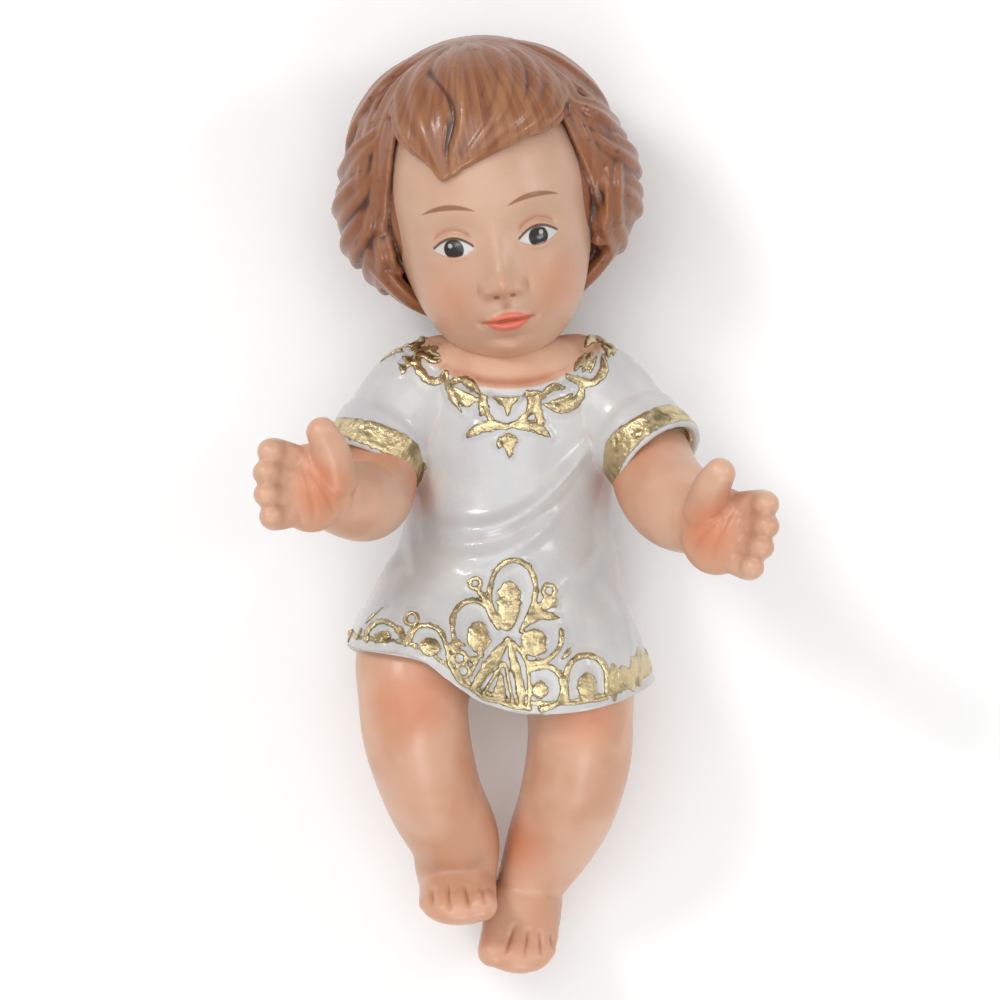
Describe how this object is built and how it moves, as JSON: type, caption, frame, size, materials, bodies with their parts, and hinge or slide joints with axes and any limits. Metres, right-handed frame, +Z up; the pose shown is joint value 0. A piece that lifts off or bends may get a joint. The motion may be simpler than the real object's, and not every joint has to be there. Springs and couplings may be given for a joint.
{
  "type": "infant nativity figurine",
  "caption": "Painted cast-resin figurine of an infant in a short white tunic, lying on its back with open arms.",
  "frame": {"origin": "on the flat of the tunic's back that it rests on, at the height of the waist", "axes": "+Z up from the resting surface, +Y towards the crown of the head, +X towards the figure's left hand"},
  "size_m": [0.0557, 0.1033, 0.0396],
  "materials": {
    "resin": "painted cast resin with a satin to gloss coat"
  },
  "bodies": {
    "root": {"figurine": "resin"}
  },
  "joints": []
}
